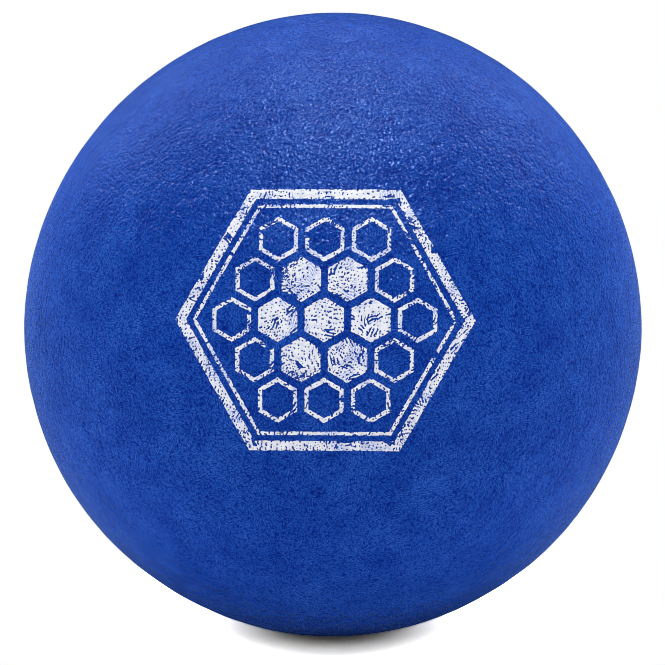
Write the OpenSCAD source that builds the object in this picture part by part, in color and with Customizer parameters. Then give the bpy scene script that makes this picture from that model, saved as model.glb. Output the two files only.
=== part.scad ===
// Coated foam dodgeball: a soft foam core, a tough skin all round it, and a mark printed on the skin.
// The origin is the ball's centre, +Z is up and the printed mark faces -Y.

/* [Ball] */
// Diameter of the finished ball over its skin
ball_d = 178; // [130:1:260]
// Thickness of the skin that coats the foam
skin_t = 0.6; // [0.3:0.05:2]

/* [Printed mark] */
// Width of the mark from corner to corner
mark_w = 82; // [64:1:100]
// Turn of the mark's centre up from level, in degrees
mark_rise = 12; // [0:0.5:30]
// Turn of the mark's centre to the left of straight ahead, in degrees
mark_turn = 1.6; // [0:0.2:10]
// Thickness of the ink film
ink_t = 0.1; // [0.05:0.01:0.3]

/* [Border] */
// Width of the bold outer line
outer_line_w = 2.6; // [1:0.1:4]
// Clear gap between the two lines
line_gap = 1.6; // [0.6:0.1:3]
// Width of the fine inner line
inner_line_w = 0.9; // [0.4:0.1:2]

/* [Cells] */
// Rings of cells round the middle cell
cell_rings = 2; // [1, 2, 3]
// Clear gap between the inner line and the outermost cells
cell_margin = 2.4; // [1:0.1:4]
// Clear gap between neighbouring cells
cell_gap = 2; // [0.8:0.1:3]
// Line width of the open cells in the outermost ring
cell_line_w = 1.1; // [0.5:0.1:1.6]

/* [Hidden] */
$fn = 180;
// Sides of the border and of each cell
hex_sides = 6;
// Half of the angle that one side of a hexagon spans
hex_half_turn = 180 / hex_sides;
ball_r = ball_d / 2;
core_r = ball_r - skin_t;
// Half widths from flat to flat, from the outermost line inwards
border_out = mark_w / 2 * cos(hex_half_turn);
gap_out = border_out - outer_line_w;
inner_line_out = gap_out - line_gap;
border_in = inner_line_out - inner_line_w;
// Distance between the centres of neighbouring cells, so that the outermost cells keep their margin
cell_pitch = (border_in - cell_margin + cell_gap / 2 / cos(hex_half_turn))
           / (cell_rings * cos(hex_half_turn) + 1 / 2 / cos(hex_half_turn));
// Half width of a cell from flat to flat
cell_out = (cell_pitch - cell_gap) / 2;
// How far the mark's outline is carried past the ink, so that it cuts the film cleanly
cut_reach = ball_r + ink_t + skin_t;

// A hexagon with corners at its left and right, by its half width from flat to flat
module hexagon(half_w) {
    circle(r = half_w / cos(hex_half_turn), $fn = hex_sides);
}

// The line between two hexagons on one centre
module hexagon_line(half_w, line_w) {
    difference() {
        hexagon(half_w);
        hexagon(half_w - line_w);
    }
}

// How many steps a cell lies from the middle cell, by its place along two of the lattice's rows
function steps_out(i, j) = max(abs(i), abs(j), abs(i + j));

// Repeats an outline at each cell whose ring lies between the two given, with corners up and down
module at_cells(first_ring, last_ring) {
    for (i = [-cell_rings : cell_rings], j = [-cell_rings : cell_rings]) {
        if (steps_out(i, j) >= first_ring && steps_out(i, j) <= last_ring) {
            translate([cell_pitch * (i + j / 2), cell_pitch * j * cos(hex_half_turn)])
                rotate(hex_half_turn)
                    children();
        }
    }
}

// Lays a flat outline on the ball as a film of ink, pressed on square from the mark's own direction
module printed() {
    intersection() {
        difference() {
            sphere(r = ball_r + ink_t);
            sphere(r = ball_r);
        }
        rotate([90 - mark_rise, 0, -mark_turn])
            linear_extrude(height = cut_reach)
                children();
    }
}

module foam_core() {
    color("antiquewhite")
        sphere(r = core_r);
}

module skin() {
    color([0.11, 0.28, 0.64])
        difference() {
            sphere(r = ball_r);
            sphere(r = core_r);
        }
}

module ink_border() {
    color("whitesmoke")
        printed() {
            hexagon_line(border_out, outer_line_w);
            hexagon_line(inner_line_out, inner_line_w);
        }
}

module ink_solid_cells() {
    color("whitesmoke")
        printed()
            at_cells(0, cell_rings - 1)
                hexagon(cell_out);
}

module ink_open_cells() {
    color("whitesmoke")
        printed()
            at_cells(cell_rings, cell_rings)
                hexagon_line(cell_out, cell_line_w);
}

foam_core();
skin();
ink_border();
ink_solid_cells();
ink_open_cells();
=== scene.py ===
"""A coated foam dodgeball on a white sweep: its foam core, pebbled blue skin and worn white print."""

import math
import random

import bpy
import numpy as np
from mathutils import Matrix, Vector, noise
from mathutils.bvhtree import BVHTree


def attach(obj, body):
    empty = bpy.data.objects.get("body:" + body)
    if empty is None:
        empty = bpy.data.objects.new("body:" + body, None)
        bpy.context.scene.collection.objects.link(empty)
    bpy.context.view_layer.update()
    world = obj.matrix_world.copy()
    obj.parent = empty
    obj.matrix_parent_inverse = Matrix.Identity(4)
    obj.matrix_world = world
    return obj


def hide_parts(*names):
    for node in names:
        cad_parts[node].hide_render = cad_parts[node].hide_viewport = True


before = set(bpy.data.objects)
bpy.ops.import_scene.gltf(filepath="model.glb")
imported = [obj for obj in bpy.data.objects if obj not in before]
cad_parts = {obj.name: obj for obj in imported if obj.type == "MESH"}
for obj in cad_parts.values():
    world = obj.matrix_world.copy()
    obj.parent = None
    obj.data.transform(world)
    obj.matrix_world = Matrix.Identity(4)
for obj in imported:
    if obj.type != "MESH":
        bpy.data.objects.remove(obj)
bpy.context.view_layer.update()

MM = 0.001

# The ball, in millimetres
BALL_R = 89.0
SKIN_T = 0.6
CORE_CLEARANCE = 0.05
# How far the ball is out of round, as seen by the camera: cosine and sine part of each number of lobes
LOBES = {2: (-0.49, 0.18), 3: (-0.09, -0.21), 4: (0.15, -0.01)}
# Shallow dents and wrinkles in the skin: wavelength and height of each
DENTS = ((26.0, 0.12), (9.0, 0.08), (4.2, 0.05))
# How far apart their patterns are taken, so that they don't share their places
DENTS_APART = 17.0
# Squares along each edge of the six panels that a ball is laid out on: skin, inside of the skin, core
OUTER_SQUARES = 126
INNER_SQUARES = 24
CORE_SQUARES = 48
# Share of the skin's map that the hidden inner panels take, and the margin round each panel on it
INNER_STRIP = 0.08
OUTER_MARGIN = 0.01
INNER_MARGIN = 0.05

# The skin's grain: distance between its features and how high they stand, in millimetres
STROKE_PITCH = 0.65
STROKE_LENGTH = 1.3
STROKE_RISE = 0.06
PEBBLE_PITCH = 0.64
PEBBLE_RISE = 0.05
DOME_PITCH = 1.0
DOME_RISE = 0.32
WRINKLE_PITCH = 2.0
WRINKLE_RISE = 0.3
BLOTCH_PITCH = 4.5
BLOTCH_RISE = 0.6
PATCH_PITCH = 12.0
# Over what distance the strokes swirl, and how well they keep to one direction, from 0 to 1
SWIRL_PITCH = 9.0
STROKE_ORDER = 0.9
# Pebbles, domes and wrinkles don't lie in straight rows: how far they are moved, and over what distance
BEND_REACH = 1.1
BEND_PITCH = 3.2
# How far the pattern of the domes lies from that of the pebbles, so that they don't share their places
DOMES_APART = 20.0
# How much each layer of the grain lightens the skin, and what is taken off their sum
STROKE_SHADE = 1.34
PEBBLE_SHADE = 1.06
WRINKLE_SHADE = 0.31
BLOTCH_SHADE = 0.4
PATCH_SHADE = 0.55
SHADE_OFFSET = 1.6

# The gaps' colour is darker partly as the grain's own tone and partly as painted shade in the gaps
SKIN_SHADED_GAP = (0.0012, 0.0115, 0.162, 1.0)
SKIN_BLUE = (0.0034, 0.0365, 0.25, 1.0)
SKIN_TIP = (0.021, 0.085, 0.38, 1.0)
SKIN_GLOSS = (0.27, 0.47, 1.0, 1.0)
SKIN_SHEEN = (0.1, 0.22, 0.86, 1.0)

INK_WHITE = (0.48, 0.495, 0.54, 1.0)
INK_STAINED = (0.39, 0.41, 0.48, 1.0)
INK_THIN = (0.16, 0.22, 0.48, 1.0)
# Over what distance the ink's stains and its thin places change, between which values of the noise they set
# in, and how far apart their patterns are taken
STAIN_PITCH = 1.8
STAIN_RANGE = (0.4, 0.7)
THIN_PITCH = 6.0
THIN_RANGE = (0.5, 0.62)
INK_PATTERNS_APART = 40.0
# Between the grain's strokes, where they are lower than this, the ink is thin by up to this share
BETWEEN_STROKES = (0.42, 0.56)
THINNED = 0.85

# A cell's hollow is darker than its walls: painted shade in the hollows
FOAM_SHADED_HOLE = (0.42, 0.33, 0.20, 1.0)
FOAM_WALL = (0.80, 0.74, 0.60, 1.0)
FOAM_YELLOWED = (0.72, 0.60, 0.38, 1.0)
# The foam's large and small cells: pitch, from which to which distance from its middle a cell's wall rises,
# and its share of the whole, then the depth of the cells and how far the foam is yellowed
FOAM_CELL = (1.3, (0.15, 0.6), 0.7)
FOAM_SMALL_CELL = (0.5, (0.1, 0.6), 0.3)
FOAM_DEPTH = 0.3
YELLOWING_PITCH = 30.0
YELLOWED = 0.35

# The printed mark, in millimetres and degrees, with the same values as the CAD model
MARK_W = 82.0
MARK_RISE = 12.0
MARK_TURN = 1.6
INK_T = 0.1
OUTER_LINE_W = 2.6
LINE_GAP = 1.6
INNER_LINE_W = 0.9
CELL_RINGS = 2
CELL_MARGIN = 2.4
CELL_GAP = 2.0
CELL_LINE_W = 1.1
# The grid that the ink is cut out on and its margin, and how deep the film is bedded into the skin
INK_GRID = 0.2
INK_MARGIN = 1.0
INK_BED = 0.02
# Least share of a grid edge that a cut keeps away from its ends, so that no sliver is left
CUT_MARGIN = 0.04

# What is worn off the print, in millimetres and radians. A pair is a range to draw from, and a longer row
# holds the values to choose from. Where nothing is worn, the nearest worn place counts as UNWORN away
WEAR_SEED = 41
UNWORN = 9.0
# The direction in which the wear runs, how far it swings, over what distance and in which layer of the noise
GRAIN_TURN = 0.9
GRAIN_SWING = math.pi * 1.6
GRAIN_PITCH = 13.0
GRAIN_LAYER = 3.0
PINHOLE_PITCH = 0.9
PINHOLE_SHARE = 0.9
PINHOLE_SHIFT = (-0.26, 0.26)
PINHOLE_LEAN = (-0.4, 0.4)
PINHOLE_LENGTHS = (0.0, 0.0, 0.0, 0.2, 0.5)
PINHOLE_R = (0.15, 0.26)
# The rows of pinholes start outside the mark and bend: how far, over what distance and, for x and y, in
# which layers of the noise
ROW_MARGIN = 4.0
ROW_BEND = 4.5
ROW_BEND_PITCH = 12.0
ROW_LAYERS = (11.0, 23.0)
# Scratches lie alone or a few side by side, and a chip is a few scrapes that cross
SCRATCH_GROUPS = 150
SCRATCH_GROUP_SIZES = (1, 1, 2, 2, 3)
SCRATCHES_APART = 0.85
SCRATCH_LEAN = (-0.3, 0.3)
SCRATCH_BOW = (-0.16, 0.16)
SCRATCH_SLIDE = (-0.8, 0.8)
SCRATCH_SPREAD = (-0.12, 0.12)
SCRATCH_LENGTH = (0.8, 2.8)
SCRATCH_R = (0.14, 0.27)
CHIPS = 60
CHIP_SCRAPES = (2, 4)
CHIP_LEAN = (-0.5, 0.5)
CHIP_SHIFT = (-0.6, 0.6)
CHIP_SPREAD = (-0.3, 0.3)
CHIP_LENGTH = (0.5, 1.8)
CHIP_R = (0.22, 0.42)
CHIP_BOW = (-0.2, 0.2)
# The edge of the ink wanders: by how much, over what distance and in which layer of the noise
RAGGED = ((0.16, 0.9, 7.0), (0.1, 3.1, 5.0))

# The camera: how far it stands, how high it looks down from, and where it sees the ball, in pixels
PHOTO_SIDE = 665
BALL_CENTRE_PX = (333.16, 325.33)
BALL_R_PX = 309.71
CAMERA_AWAY = 1.5
CAMERA_RISE = math.radians(11.0)
SENSOR_MM = 36.0
NEAREST_SEEN = 0.05

# The white sweep, in metres: its colour as a light, in reflections, and for the camera out of and in the
# contact shadow, where a darker colour is a painted shadow, then how far from its middle the painted shadow
# ends and the paper fades into the white room
SWEEP_HALF = 4.0
PAPER = (0.97, 0.97, 0.97, 1.0)
PAPER_MIRRORED = (0.022, 0.034, 0.065, 1.0)
PAPER_SHADOWED = (2.25, 2.15, 1.73, 1.0)
PAPER_OVEREXPOSED = (9.9, 9.46, 7.6, 1.0)
SHADOW_ENDS = (0.012, 0.027)
PAPER_FADES = (0.06, 0.1)

# The white room: colour and strength as a light, in reflections and for the camera
WHITE = (1.0, 1.0, 1.0, 1.0)
ROOM_LIGHTING = (WHITE, 0.3)
ROOM_MIRRORED = ((0.4, 0.6, 1.0, 1.0), 0.07)
ROOM_SEEN = (WHITE, 1.0)

# Softboxes: degrees up and round from the camera's side, metres away, width, height and glow
SOFTBOXES = {
    "bright_overhead": (78, 0, 1.1, 0.3, 0.28, 34.0),
    "bright_behind": (50, 180, 1.2, 0.26, 0.24, 3.4),
    "bright_left_back": (35, -137, 1.2, 0.26, 0.24, 4.5),
    "bright_right_back": (35, 137, 1.2, 0.26, 0.24, 4.5),
    "behind": (50, 180, 1.2, 1.0, 0.8, 18.5),
    "overhead": (80, 0, 1.2, 0.9, 0.9, 0.6),
    "left_front": (48, -55, 1.3, 0.7, 0.9, 3.0),
    "right_front": (48, 55, 1.3, 0.7, 0.9, 2.9),
    "low_left": (8, -35, 1.4, 0.5, 0.5, 0.5),
    "low_right": (8, 35, 1.4, 0.5, 0.5, 0.5),
    "left_side": (14, -90, 1.2, 0.8, 0.9, 0.8),
    "right_side": (14, 90, 1.2, 0.8, 0.9, 0.8),
}

# Places of inputs and outputs of shader nodes
FIRST_COLOUR = 6
SECOND_COLOUR = 7
NOISE_COLOUR = 1
VECTOR_LENGTH = 1
MIXED_COLOUR = 2
OBJECT_PLACE = 3
CAMERA_RAY = 0
GLOSSY_RAY = 3


class Value:
    """One output of a shader node. Arithmetic on it adds Math nodes."""

    def __init__(self, nodes, socket):
        self.nodes = nodes
        self.socket = socket

    def maths(self, operation, *values):
        return self.nodes.add("ShaderNodeMath", {"operation": operation}, values)

    def __add__(self, other):
        return self.maths("ADD", self, other)

    def __radd__(self, other):
        return self.maths("ADD", other, self)

    def __sub__(self, other):
        return self.maths("SUBTRACT", self, other)

    def __rsub__(self, other):
        return self.maths("SUBTRACT", other, self)

    def __mul__(self, other):
        return self.maths("MULTIPLY", self, other)

    def __rmul__(self, other):
        return self.maths("MULTIPLY", other, self)

    def __pow__(self, other):
        return self.maths("POWER", self, other)

    def __rpow__(self, other):
        return self.maths("POWER", other, self)

    def clipped(self, low, high):
        """This value brought from the range low to high onto 0 to 1 with soft ends."""
        settings = {"interpolation_type": "SMOOTHSTEP"}
        return self.nodes.add("ShaderNodeMapRange", settings, (self, low, high))


class Nodes:
    """The nodes of one material or world."""

    def __init__(self, tree):
        self.tree = tree
        tree.nodes.clear()

    def add(self, kind, settings=None, sockets=(), output=0):
        """Adds a node with its settings and its sockets' values or links, and gives one of its outputs."""
        node = self.tree.nodes.new(kind)
        for name, value in (settings or {}).items():
            setattr(node, name, value)
        placed = sockets if isinstance(sockets, dict) else dict(enumerate(sockets))
        for place, value in placed.items():
            if isinstance(value, Value):
                self.tree.links.new(value.socket, node.inputs[place])
            else:
                node.inputs[place].default_value = value
        return Value(self, node.outputs[output]) if len(node.outputs) else node

    def vector(self, operation, *values):
        output = VECTOR_LENGTH if operation == "LENGTH" else 0
        return self.add("ShaderNodeVectorMath", {"operation": operation}, values, output)

    def scaled(self, vector, factor):
        sockets = {"Vector": vector, "Scale": factor}
        return self.add("ShaderNodeVectorMath", {"operation": "SCALE"}, sockets)

    def moved(self, place, distance):
        """The point moved along x, which gives a layer a pattern of its own."""
        return self.vector("ADD", place, (distance, 0.0, 0.0))

    def mixed(self, factor, first, second):
        """One colour turning into another as the factor goes from 0 to 1."""
        sockets = {0: factor, FIRST_COLOUR: first, SECOND_COLOUR: second}
        return self.add("ShaderNodeMix", {"data_type": "RGBA"}, sockets, MIXED_COLOUR)

    def noise(self, where, pitch, detail=2.0, output=0):
        sockets = {"Vector": where, "Scale": 1.0 / pitch, "Detail": detail}
        return self.add("ShaderNodeTexNoise", {"noise_dimensions": "3D"}, sockets, output)

    def cells(self, where, pitch, feature="F1"):
        """How far a point is from the middle of the nearest cell."""
        settings = {"feature": feature, "voronoi_dimensions": "3D"}
        return self.add("ShaderNodeTexVoronoi", settings, {"Vector": where, "Scale": 1.0 / pitch})

    def blended(self, factor, first, second):
        """One shader turning into another as the factor goes from 0 to 1."""
        return self.add("ShaderNodeMixShader", None, (factor, first, second))

    def by_ray(self, lighting, mirrored, seen):
        """A shader that isn't the same for light, in reflections and for the camera."""
        is_mirrored = self.add("ShaderNodeLightPath", output=GLOSSY_RAY)
        is_seen = self.add("ShaderNodeLightPath", output=CAMERA_RAY)
        return self.blended(is_seen, self.blended(is_mirrored, lighting, mirrored), seen)


def finish(name, dress):
    """A material whose surface is the shader that dress makes from its nodes."""
    material = bpy.data.materials.new(name)
    material.use_nodes = True
    nodes = Nodes(material.node_tree)
    nodes.add("ShaderNodeOutputMaterial", None, {"Surface": dress(nodes)})
    return material


def millimetres(nodes):
    """A point of the ball's own space, in millimetres, which skin and ink share."""
    return nodes.scaled(nodes.add("ShaderNodeTexCoord", output=OBJECT_PLACE), 1.0 / MM)


def bent_point(nodes, where):
    """The point moved in a direction that changes over the skin, which bends a layer's rows."""
    drift = nodes.noise(where, BEND_PITCH, detail=1.0, output=NOISE_COLOUR)
    return nodes.vector("MULTIPLY_ADD", drift, (BEND_REACH, BEND_REACH, BEND_REACH), where)


def pebbles(nodes, where, pitch):
    """Low round pebbles side by side: 1 on their tips and 0 in the gaps."""
    return 1.0 - nodes.cells(where, pitch) ** 2.0


def strokes(nodes, where):
    """Short parallel strokes that swirl over the skin like those of a fingertip, from 0 to 1."""
    out = nodes.vector("NORMALIZE", where)
    swirl = nodes.noise(where, SWIRL_PITCH, detail=1.0, output=NOISE_COLOUR)
    along = nodes.vector("CROSS_PRODUCT", nodes.vector("SUBTRACT", swirl, (0.5, 0.5, 0.5)), out)
    return nodes.add("ShaderNodeTexGabor", {"gabor_type": "3D"}, {
        "Vector": where, "Scale": 1.0 / STROKE_LENGTH, "Frequency": STROKE_LENGTH / STROKE_PITCH,
        "Anisotropy": STROKE_ORDER, "Orientation 3D": along})


class Grain:
    """The layers of the skin's fine grain at a point, each from about 0 to 1."""

    def __init__(self, nodes):
        self.where = millimetres(nodes)
        bent = bent_point(nodes, self.where)
        self.strokes = strokes(nodes, self.where)
        self.pebbles = pebbles(nodes, bent, PEBBLE_PITCH)
        self.domes = pebbles(nodes, nodes.moved(bent, DOMES_APART), DOME_PITCH)
        self.wrinkles = nodes.noise(bent, WRINKLE_PITCH, detail=1.0)
        self.blotches = nodes.noise(self.where, BLOTCH_PITCH)

    def height(self):
        """The grain's height in millimetres."""
        fine = self.strokes * STROKE_RISE + self.pebbles * PEBBLE_RISE + self.domes * DOME_RISE
        return fine + self.wrinkles * WRINKLE_RISE + self.blotches * BLOTCH_RISE

    def shade(self, patches):
        """How light the skin is: 0 in the deepest gaps, 1 on the lightest tips. The gaps' darkness is partly
        the grain's own tone and partly painted shade.
        """
        fine = self.strokes * STROKE_SHADE + self.pebbles * PEBBLE_SHADE
        coarse = self.wrinkles * WRINKLE_SHADE + self.blotches * BLOTCH_SHADE + patches * PATCH_SHADE
        return fine + coarse - SHADE_OFFSET


def bumped(nodes, height):
    """The surface's normal over a height in millimetres."""
    return nodes.add("ShaderNodeBump", None, {"Strength": 1.0, "Distance": MM, "Height": height})


def blue_skin(nodes):
    grain = Grain(nodes)
    patches = nodes.noise(grain.where, PATCH_PITCH, detail=1.0)
    shade = grain.shade(patches)
    # Dark in the gaps: partly the grain's own tone, partly painted shade
    colour = nodes.mixed(shade * 2, SKIN_SHADED_GAP, SKIN_BLUE)
    colour = nodes.mixed(shade * 2 - 1, colour, SKIN_TIP)
    return nodes.add("ShaderNodeBsdfPrincipled", None, {
        "Base Color": colour, "Diffuse Roughness": 1.0, "Roughness": 0.06 + 0.06 * patches, "IOR": 1.5,
        "Specular IOR Level": 0.46, "Specular Tint": SKIN_GLOSS, "Sheen Weight": 0.22,
        "Sheen Roughness": 0.5, "Sheen Tint": SKIN_SHEEN, "Normal": bumped(nodes, grain.height())})


def white_ink(nodes):
    grain = Grain(nodes)
    stain = nodes.noise(grain.where, STAIN_PITCH, detail=3.0)
    colour = nodes.mixed(stain.clipped(*STAIN_RANGE), INK_WHITE, INK_STAINED)
    thin = nodes.noise(nodes.moved(grain.where, INK_PATTERNS_APART), THIN_PITCH)
    lines = 1.0 - grain.strokes.clipped(*BETWEEN_STROKES)
    colour = nodes.mixed(thin.clipped(*THIN_RANGE) * lines * THINNED, colour, INK_THIN)
    return nodes.add("ShaderNodeBsdfPrincipled", None, {
        "Base Color": colour, "Roughness": 0.5 + 0.1 * grain.pebbles, "IOR": 1.45,
        "Specular IOR Level": 0.2, "Normal": bumped(nodes, grain.height() * 0.5)})


def cream_foam(nodes):
    where = millimetres(nodes)
    large_pitch, large_rise, large_share = FOAM_CELL
    small_pitch, small_rise, small_share = FOAM_SMALL_CELL
    large = nodes.cells(where, large_pitch, "SMOOTH_F1")
    small = nodes.cells(where, small_pitch)
    walls = large.clipped(*large_rise) * large_share + small.clipped(*small_rise) * small_share
    yellowing = nodes.noise(where, YELLOWING_PITCH, detail=3.0)
    # Painted shade: the cells' hollows are darker than their walls
    colour = nodes.mixed(walls, FOAM_SHADED_HOLE, FOAM_WALL)
    colour = nodes.mixed(yellowing * YELLOWED, colour, FOAM_YELLOWED)
    return nodes.add("ShaderNodeBsdfPrincipled", None, {
        "Base Color": colour, "Roughness": 0.9 - 0.1 * small, "IOR": 1.4,
        "Normal": bumped(nodes, walls * FOAM_DEPTH)})


def white_sweep(nodes):
    """White paper, which the camera sees overexposed near the ball, darker close to it as a painted shadow,
    and not at all farther out.
    """
    place = nodes.add("ShaderNodeTexCoord", output=OBJECT_PLACE)
    from_ball = nodes.vector("LENGTH", nodes.vector("MULTIPLY", place, (1.0, 1.0, 0.0)))
    lighting, mirrored, shadowed, overexposed = (
        nodes.add("ShaderNodeBsdfDiffuse", None, {"Color": colour})
        for colour in (PAPER, PAPER_MIRRORED, PAPER_SHADOWED, PAPER_OVEREXPOSED))
    clear = nodes.add("ShaderNodeBsdfTransparent", None, {"Color": WHITE})
    # Painted shadow: close to the ball the paper's colour is darker, which deepens its contact shadow
    near = nodes.blended(from_ball.clipped(*SHADOW_ENDS), shadowed, overexposed)
    return nodes.by_ray(lighting, mirrored, nodes.blended(from_ball.clipped(*PAPER_FADES), near, clear))


def panelled_ball(squares):
    """Directions and faces of six panels wrapped round a ball, and where on its panel each corner lies."""
    along, up = np.meshgrid(np.arange(squares + 1), np.arange(squares + 1), indexing="ij")
    place = np.stack((along, up), 2)
    corners, places = [], []
    for axis in range(3):
        for side in (0, squares):
            panel = np.empty((squares + 1, squares + 1, 3), int)
            panel[..., axis] = side
            panel[..., (axis + 1) % 3] = along
            panel[..., (axis + 2) % 3] = up
            for grid, found, size in ((panel, corners, 3), (place, places, 2)):
                square = np.stack((grid[:-1, :-1], grid[1:, :-1], grid[1:, 1:], grid[:-1, 1:]), 2)
                turned = square[:, :, ::-1] if side == 0 else square
                found.append(turned.reshape(-1, size))
    points, faces = np.unique(np.concatenate(corners), axis=0, return_inverse=True)
    directions = np.tan((points / squares - 0.5) * math.pi / 2)
    directions /= np.linalg.norm(directions, axis=1)[:, None]
    return directions, faces.reshape(-1, 4), np.stack(places) / squares


def out_of_round(directions):
    """How far the ball's surface lies outside a true ball in each direction, in millimetres."""
    seen_up = directions[:, 1] * math.sin(CAMERA_RISE) + directions[:, 2] * math.cos(CAMERA_RISE)
    across = directions[:, 0] + 1j * seen_up
    swell = np.zeros(len(directions))
    for lobes, (cosine, sine) in LOBES.items():
        turn = across ** lobes
        swell += cosine * turn.real + sine * turn.imag
    return swell


def dented(directions):
    """Height of the shallow dents and wrinkles in each direction, in millimetres."""
    height = np.zeros(len(directions))
    for step, (wavelength, rise) in enumerate(DENTS):
        places = directions * (BALL_R / wavelength) + DENTS_APART * step
        height += rise * np.array([noise.noise(place) for place in places.tolist()])
    return height


def mesh_piece(name, points, faces, material, flat=0, unit=MM):
    """A mesh object from points in the given unit, smooth but for its last faces, as many as flat says."""
    mesh = bpy.data.meshes.new(name)
    mesh.from_pydata((np.asarray(points) * unit).tolist(), [], faces)
    mesh.polygons.foreach_set("use_smooth", [True] * (len(faces) - flat) + [False] * flat)
    mesh.materials.append(material)
    mesh.update()
    piece = bpy.data.objects.new(name, mesh)
    bpy.context.scene.collection.objects.link(piece)
    return piece


def lay_out_panels(piece, outer, inner):
    """The map of the skin: its outer panels large, its hidden inner ones in a narrow strip."""
    outer_size = np.array((1 / 3, (1 - INNER_STRIP) / 2))
    spots = []
    for number, place in enumerate(outer):
        column, row = number % 3, number // 3
        within = place * (1 - 2 * OUTER_MARGIN) + OUTER_MARGIN
        spots.append((within + (column, row)) * outer_size + (0, INNER_STRIP))
    for number, place in enumerate(inner):
        within = place * (1 - 2 * INNER_MARGIN) + INNER_MARGIN
        spots.append((within + (number, 0)) * (1 / 6, INNER_STRIP))
    layer = piece.data.uv_layers.new(name="OFBake")
    layer.uv.foreach_set("vector", np.concatenate(spots).astype(np.float32).ravel())


def make_skin(material):
    """The skin, with an outer and an inner surface, and the outer surface alone for the ink to lie on."""
    directions, faces, places = panelled_ball(OUTER_SQUARES)
    outer = directions * (BALL_R + out_of_round(directions) + dented(directions))[:, None]
    inward, inner_faces, inner_places = panelled_ball(INNER_SQUARES)
    inner = inward * (BALL_R - SKIN_T + out_of_round(inward))[:, None]
    turned_faces = inner_faces[:, ::-1] + len(outer)
    turned_places = inner_places.reshape(6, -1, 4, 2)[:, :, ::-1].reshape(6, -1, 2)
    points = np.concatenate((outer, inner))
    piece = mesh_piece("pebbled_skin", points, faces.tolist() + turned_faces.tolist(), material)
    lay_out_panels(piece, places, turned_places)
    return piece, BVHTree.FromPolygons(outer.tolist(), faces.tolist())


def make_core(material):
    directions, faces, _ = panelled_ball(CORE_SQUARES)
    reach = BALL_R - SKIN_T + out_of_round(directions) - CORE_CLEARANCE
    return mesh_piece("foam_ball", directions * reach[:, None], faces.tolist(), material)


def hexagon_reach(x, y, first_turn):
    """Distance from the middle towards the nearest flat of a hexagon with a flat at first_turn degrees."""
    turns = [math.radians(first_turn + 60 * step) for step in range(3)]
    return np.max([abs(x * math.cos(turn) + y * math.sin(turn)) for turn in turns], axis=0)


def between(reach, outer, inner):
    """Depth inside the line between two hexagons on one centre."""
    return np.minimum(outer - reach, reach - inner)


COS_30 = math.cos(math.radians(30))
BORDER_OUT = MARK_W / 2 * COS_30
GAP_OUT = BORDER_OUT - OUTER_LINE_W
INNER_LINE_OUT = GAP_OUT - LINE_GAP
BORDER_IN = INNER_LINE_OUT - INNER_LINE_W
CELL_PITCH = (BORDER_IN - CELL_MARGIN + CELL_GAP / 2 / COS_30) / (CELL_RINGS * COS_30 + 1 / 2 / COS_30)
CELL_OUT = (CELL_PITCH - CELL_GAP) / 2


def cell_centres(first_ring, last_ring):
    for i in range(-CELL_RINGS, CELL_RINGS + 1):
        for j in range(-CELL_RINGS, CELL_RINGS + 1):
            if first_ring <= max(abs(i), abs(j), abs(i + j)) <= last_ring:
                yield CELL_PITCH * (i + j / 2), CELL_PITCH * j * COS_30


def border_depth(x, y):
    reach = hexagon_reach(x, y, 30)
    return np.maximum(between(reach, BORDER_OUT, GAP_OUT), between(reach, INNER_LINE_OUT, BORDER_IN))


def cells_depth(x, y, first_ring, last_ring, hollow):
    depth = np.full(x.shape, -CELL_PITCH)
    for centre_x, centre_y in cell_centres(first_ring, last_ring):
        reach = hexagon_reach(x - centre_x, y - centre_y, 0)
        cell = between(reach, CELL_OUT, CELL_OUT - CELL_LINE_W) if hollow else CELL_OUT - reach
        depth = np.maximum(depth, cell)
    return depth


def wander(x, y, pitch, layer):
    """A number, from about -1 to 1, that changes over the mark. Each layer has a pattern of its own."""
    return noise.noise((x / pitch, y / pitch, layer))


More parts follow.
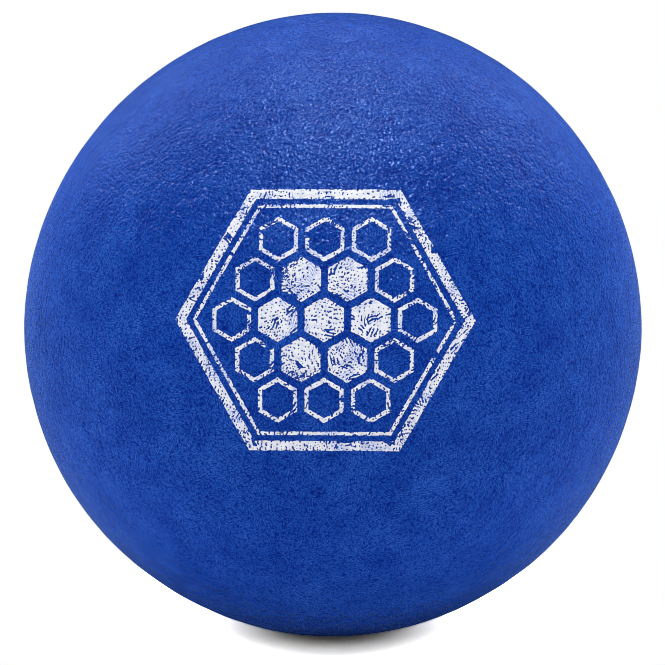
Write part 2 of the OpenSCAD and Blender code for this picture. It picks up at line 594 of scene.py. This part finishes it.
class Wear:
    """What is worn off the print, as the distance to the nearest worn place over the mark's grid."""

    def __init__(self, half_x, half_y):
        self.xs = np.arange(-half_x, half_x + INK_GRID, INK_GRID)
        self.ys = np.arange(-half_y, half_y + INK_GRID, INK_GRID)
        self.x, self.y = np.meshgrid(self.xs, self.ys, indexing="ij")
        self.clear = np.full(self.x.shape, UNWORN)
        self.draw = random.Random(WEAR_SEED)

    def lean(self, x, y):
        """Which way the wear runs at a place on the mark."""
        return GRAIN_SWING * wander(x, y, GRAIN_PITCH, GRAIN_LAYER) + GRAIN_TURN

    def anywhere(self):
        return self.draw.uniform(self.xs[0], self.xs[-1]), self.draw.uniform(self.ys[0], self.ys[-1])

    def scrape(self, x, y, turn, length, radius, bow=0.0):
        """Takes off the ink along a short bowed line."""
        reach = length / 2 + radius + 2 * INK_GRID
        i0, i1 = np.searchsorted(self.xs, (x - reach, x + reach))
        j0, j1 = np.searchsorted(self.ys, (y - reach, y + reach))
        if i0 == i1 or j0 == j1:
            return
        dx = self.x[i0:i1, j0:j1] - x
        dy = self.y[i0:i1, j0:j1] - y
        along = dx * math.cos(turn) + dy * math.sin(turn)
        across = dy * math.cos(turn) - dx * math.sin(turn) - bow * along ** 2
        past = np.maximum(abs(along) - length / 2, 0)
        part = self.clear[i0:i1, j0:j1]
        np.minimum(part, np.hypot(past, across) - radius, out=part)

    def pinholes(self):
        """Pinholes in rows that bend with the grain."""
        draw = self.draw
        x = self.xs[0] - ROW_MARGIN
        while x < self.xs[-1] + ROW_MARGIN:
            y = self.ys[0] - ROW_MARGIN
            while y < self.ys[-1] + ROW_MARGIN:
                if draw.random() < PINHOLE_SHARE:
                    shift_x = draw.uniform(*PINHOLE_SHIFT) * PINHOLE_PITCH
                    shift_y = draw.uniform(*PINHOLE_SHIFT) * PINHOLE_PITCH
                    bend_x, bend_y = (ROW_BEND * wander(x, y, ROW_BEND_PITCH, layer) for layer in ROW_LAYERS)
                    place_x, place_y = x + shift_x + bend_x, y + shift_y + bend_y
                    turn = self.lean(place_x, place_y) + draw.uniform(*PINHOLE_LEAN)
                    length = draw.choice(PINHOLE_LENGTHS)
                    self.scrape(place_x, place_y, turn, length, draw.uniform(*PINHOLE_R))
                y += PINHOLE_PITCH
            x += PINHOLE_PITCH

    def scratches(self):
        """Short bowed scratches, alone or a few side by side."""
        draw = self.draw
        for _ in range(SCRATCH_GROUPS):
            x, y = self.anywhere()
            turn = self.lean(x, y) + draw.uniform(*SCRATCH_LEAN)
            bow = draw.uniform(*SCRATCH_BOW)
            for number in range(draw.choice(SCRATCH_GROUP_SIZES)):
                shift = SCRATCHES_APART * number
                slide = draw.uniform(*SCRATCH_SLIDE)
                at_x = x - shift * math.sin(turn) + slide * math.cos(turn)
                at_y = y + shift * math.cos(turn) + slide * math.sin(turn)
                self.scrape(at_x, at_y, turn + draw.uniform(*SCRATCH_SPREAD),
                            draw.uniform(*SCRATCH_LENGTH), draw.uniform(*SCRATCH_R), bow)

    def chips(self):
        """Places where a flake of ink is gone."""
        draw = self.draw
        for _ in range(CHIPS):
            x, y = self.anywhere()
            turn = self.lean(x, y) + draw.uniform(*CHIP_LEAN)
            for _ in range(draw.randint(*CHIP_SCRAPES)):
                self.scrape(x + draw.uniform(*CHIP_SHIFT), y + draw.uniform(*CHIP_SHIFT),
                            turn + draw.uniform(*CHIP_SPREAD), draw.uniform(*CHIP_LENGTH),
                            draw.uniform(*CHIP_R), draw.uniform(*CHIP_BOW))

    def ragged(self):
        """How far the edge of the ink wanders, over the grid."""
        reach = [sum(most * wander(x, y, pitch, layer) for most, pitch, layer in RAGGED)
                 for x, y in zip(self.x.ravel().tolist(), self.y.ravel().tolist())]
        return np.array(reach).reshape(self.x.shape)


def cut_out(depth, xs, ys):
    """Cuts the region of positive depth out of the grid: its points, its faces and its open edges."""
    points, known, faces, edges = [], {}, [], []

    def corner(i, j):
        if (i, j) not in known:
            known[i, j] = len(points)
            points.append((xs[i], ys[j]))
        return known[i, j]

    def crossing(a, b):
        key = (a, b) if a < b else (b, a)
        if key not in known:
            first, second = key
            share = depth[first] / (depth[first] - depth[second])
            share = min(max(share, CUT_MARGIN), 1 - CUT_MARGIN)
            known[key] = len(points)
            points.append((xs[first[0]] + share * (xs[second[0]] - xs[first[0]]),
                           ys[first[1]] + share * (ys[second[1]] - ys[first[1]])))
        return known[key]

    inside = depth > 0
    near = inside[:-1, :-1] | inside[1:, :-1] | inside[1:, 1:] | inside[:-1, 1:]
    for i, j in np.argwhere(near).tolist():
        for trio in (((i, j), (i + 1, j), (i + 1, j + 1)), ((i, j), (i + 1, j + 1), (i, j + 1))):
            inked = [bool(inside[place]) for place in trio]
            if all(inked):
                faces.append([corner(*place) for place in trio])
            elif any(inked):
                # One corner differs from the two others: a is that corner
                odd = inked.index(sum(inked) == 1)
                a, b, c = trio[odd], trio[(odd + 1) % 3], trio[(odd + 2) % 3]
                if inked[odd]:
                    start, end = crossing(a, b), crossing(a, c)
                    faces.append([corner(*a), start, end])
                else:
                    start, end = crossing(a, c), crossing(a, b)
                    faces.append([start, end, corner(*b), corner(*c)])
                edges.append((start, end))
    return points, faces, edges


MARK_FACING = (Matrix.Rotation(math.radians(-MARK_TURN), 3, "Z")
               @ Matrix.Rotation(math.radians(90 - MARK_RISE), 3, "X"))


def make_ink(name, depth, wear, surface, material):
    """A closed film of ink laid on the skin wherever the depth over the mark's grid is positive."""
    points, faces, edges = cut_out(depth, wear.xs, wear.ys)
    top, bed = [], []
    for x, y in points:
        out = (MARK_FACING @ Vector((x, y, math.sqrt(BALL_R ** 2 - x * x - y * y)))).normalized()
        hit = surface.ray_cast(Vector((0, 0, 0)), out)[0].length
        top.append(out * (hit + INK_T - INK_BED))
        bed.append(out * (hit - INK_BED))
    count = len(points)
    below = [[k + count for k in reversed(face)] for face in faces]
    rim = [(end, start, start + count, end + count) for start, end in edges]
    return mesh_piece(name, top + bed, faces + below + rim, material, flat=len(rim))


def light_room():
    """A white room, which the camera sees white, but which is a weaker light and dim in reflections."""
    world = bpy.data.worlds.new("studio")
    world.use_nodes = True
    bpy.context.scene.world = world
    nodes = Nodes(world.node_tree)
    backgrounds = [
        nodes.add("ShaderNodeBackground", None, {"Color": colour, "Strength": strength})
        for colour, strength in (ROOM_LIGHTING, ROOM_MIRRORED, ROOM_SEEN)]
    nodes.add("ShaderNodeOutputWorld", None, {"Surface": nodes.by_ray(*backgrounds)})


def softbox(name, rise, turn, away, width, height, glow):
    """A softbox that faces the ball. Only those whose names begin with bright show in reflections."""
    light = bpy.data.lights.new(name, "AREA")
    light.shape = "RECTANGLE"
    light.size = width
    light.size_y = height
    light.energy = glow * math.pi * width * height
    lamp = bpy.data.objects.new(name, light)
    up, round_ball = math.radians(rise), math.radians(turn)
    level = away * math.cos(up)
    lamp.location = (level * math.sin(round_ball), -level * math.cos(round_ball), away * math.sin(up))
    lamp.rotation_euler = lamp.location.to_track_quat("Z", "Y").to_euler()
    lamp.visible_camera = False
    lamp.visible_glossy = name.startswith("bright")
    bpy.context.scene.collection.objects.link(lamp)


def place_camera():
    """The camera, whose lens shows the ball in the photograph's size and place."""
    focal_px = BALL_R_PX * math.sqrt(CAMERA_AWAY ** 2 - (BALL_R * MM) ** 2) / (BALL_R * MM)
    lens = bpy.data.cameras.new("camera")
    lens.sensor_width = SENSOR_MM
    lens.lens = focal_px * SENSOR_MM / PHOTO_SIDE
    lens.shift_x = (PHOTO_SIDE / 2 - BALL_CENTRE_PX[0]) / PHOTO_SIDE
    lens.shift_y = (BALL_CENTRE_PX[1] - PHOTO_SIDE / 2) / PHOTO_SIDE
    lens.clip_start = NEAREST_SEEN
    camera = bpy.data.objects.new("camera", lens)
    camera.location = CAMERA_AWAY * Vector((0.0, -math.cos(CAMERA_RISE), math.sin(CAMERA_RISE)))
    camera.rotation_euler = (math.pi / 2 - CAMERA_RISE, 0.0, 0.0)
    bpy.context.scene.collection.objects.link(camera)
    bpy.context.scene.camera = camera


skin_finish = finish("pebbled_blue_coating", blue_skin)
ink_finish = finish("worn_white_ink", white_ink)
foam_finish = finish("cream_open_cell_foam", cream_foam)

core = make_core(foam_finish)
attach(core, "root")
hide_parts("foam_core")

skin, skin_surface = make_skin(skin_finish)
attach(skin, "root")
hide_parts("skin")

wear = Wear(MARK_W / 2 + INK_MARGIN, BORDER_OUT + INK_MARGIN)
wear.pinholes()
wear.scratches()
wear.chips()
ragged = wear.ragged()
prints = {
    "ink_border": border_depth(wear.x, wear.y),
    "ink_solid_cells": cells_depth(wear.x, wear.y, 0, CELL_RINGS - 1, False),
    "ink_open_cells": cells_depth(wear.x, wear.y, CELL_RINGS, CELL_RINGS, True),
}
for node, depth in prints.items():
    left = np.minimum(depth + ragged, wear.clear)
    film = make_ink("worn_" + node, left, wear, skin_surface, ink_finish)
    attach(film, "root")
    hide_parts(node)

floor_z = min(corner.co.z for corner in skin.data.vertices)
floor_corners = [(-SWEEP_HALF, -SWEEP_HALF, floor_z), (SWEEP_HALF, -SWEEP_HALF, floor_z),
                 (SWEEP_HALF, SWEEP_HALF, floor_z), (-SWEEP_HALF, SWEEP_HALF, floor_z)]
white_paper = finish("white_paper", white_sweep)
floor = mesh_piece("sweep", floor_corners, [(0, 1, 2, 3)], white_paper, flat=1, unit=1.0)

light_room()
for name, values in SOFTBOXES.items():
    softbox(name, *values)
place_camera()
bpy.context.scene.view_settings.view_transform = "Standard"
# One pixel wide, because the photograph's grain is as sharp as its pixels
bpy.context.scene.cycles.filter_width = 1.0
